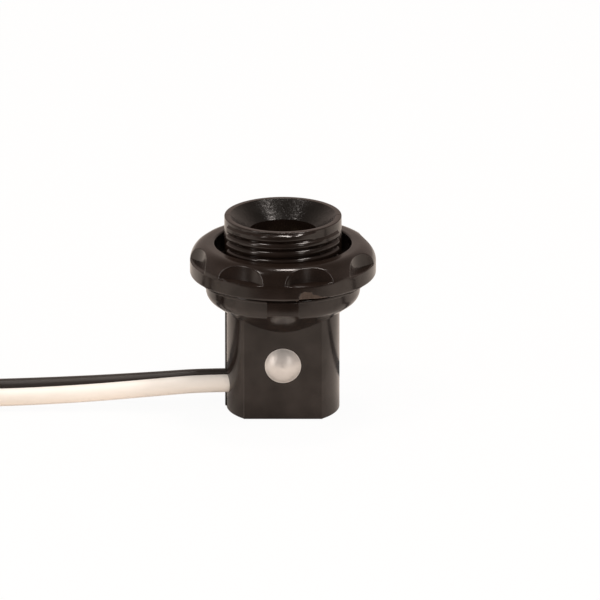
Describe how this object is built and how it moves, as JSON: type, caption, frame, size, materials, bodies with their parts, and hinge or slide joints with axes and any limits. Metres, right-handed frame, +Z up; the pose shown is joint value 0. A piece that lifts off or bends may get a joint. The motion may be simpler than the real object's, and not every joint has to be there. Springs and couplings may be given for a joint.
{
  "type": "lamp socket",
  "caption": "Candelabra lamp socket: two-half phenolic body with threaded collar, screw-on shade ring, E12 screw shell and a pair of side-exit leads.",
  "frame": {"origin": "centre of the bottom of the body, on the surface that it stands on", "axes": "+Z up out of the mouth, -Y towards the rivet's domed head, -X along the leads"},
  "size_m": [0.1379, 0.0525, 0.0413],
  "materials": {
    "phenolic": "moulded black phenolic, glossy",
    "shell_brass": "rolled brass sheet",
    "contact_bronze": "spring bronze strip",
    "fibre": "vulcanised fibre",
    "small_rivet_brass": "brass",
    "terminal_brass": "stamped brass strip",
    "rivet_aluminium": "satin aluminium",
    "tinned_copper": "tinned copper strand",
    "white_pvc": "extruded PVC, cream white",
    "black_pvc": "extruded PVC, black",
    "tie_plastic": "plain plastic band"
  },
  "bodies": {
    "socket": {"front_housing": "phenolic", "back_housing": "phenolic", "screw_shell": "shell_brass", "insulating_disc": "fibre", "contact_rivet": "small_rivet_brass", "shell_rivets": "small_rivet_brass", "shell_terminal": "terminal_brass", "centre_terminal": "terminal_brass", "housing_rivet": "rivet_aluminium", "white_conductor": "tinned_copper", "black_conductor": "tinned_copper", "white_lead": "white_pvc", "black_lead": "black_pvc", "white_lead_hank": "white_pvc", "black_lead_hank": "black_pvc", "white_bare_end": "tinned_copper", "black_bare_end": "tinned_copper", "white_hank_tie": "tie_plastic", "black_hank_tie": "tie_plastic"},
    "ring": {"shade_ring": "phenolic"},
    "contact": {"centre_contact": "contact_bronze"}
  },
  "joints": [
    {"name": "shade_ring_unscrew", "type": "slide", "parent": "socket", "child": "ring", "axis": [0, 0, 1], "range_m": [0, 0.0104]},
    {"name": "centre_contact_press", "type": "hinge", "parent": "socket", "child": "contact", "pos_m": [0.0015, 0, 0.0212], "axis": [0, -1, 0], "range_deg": [0, 8], "stiffness_Nm_per_rad": 0.08}
  ]
}
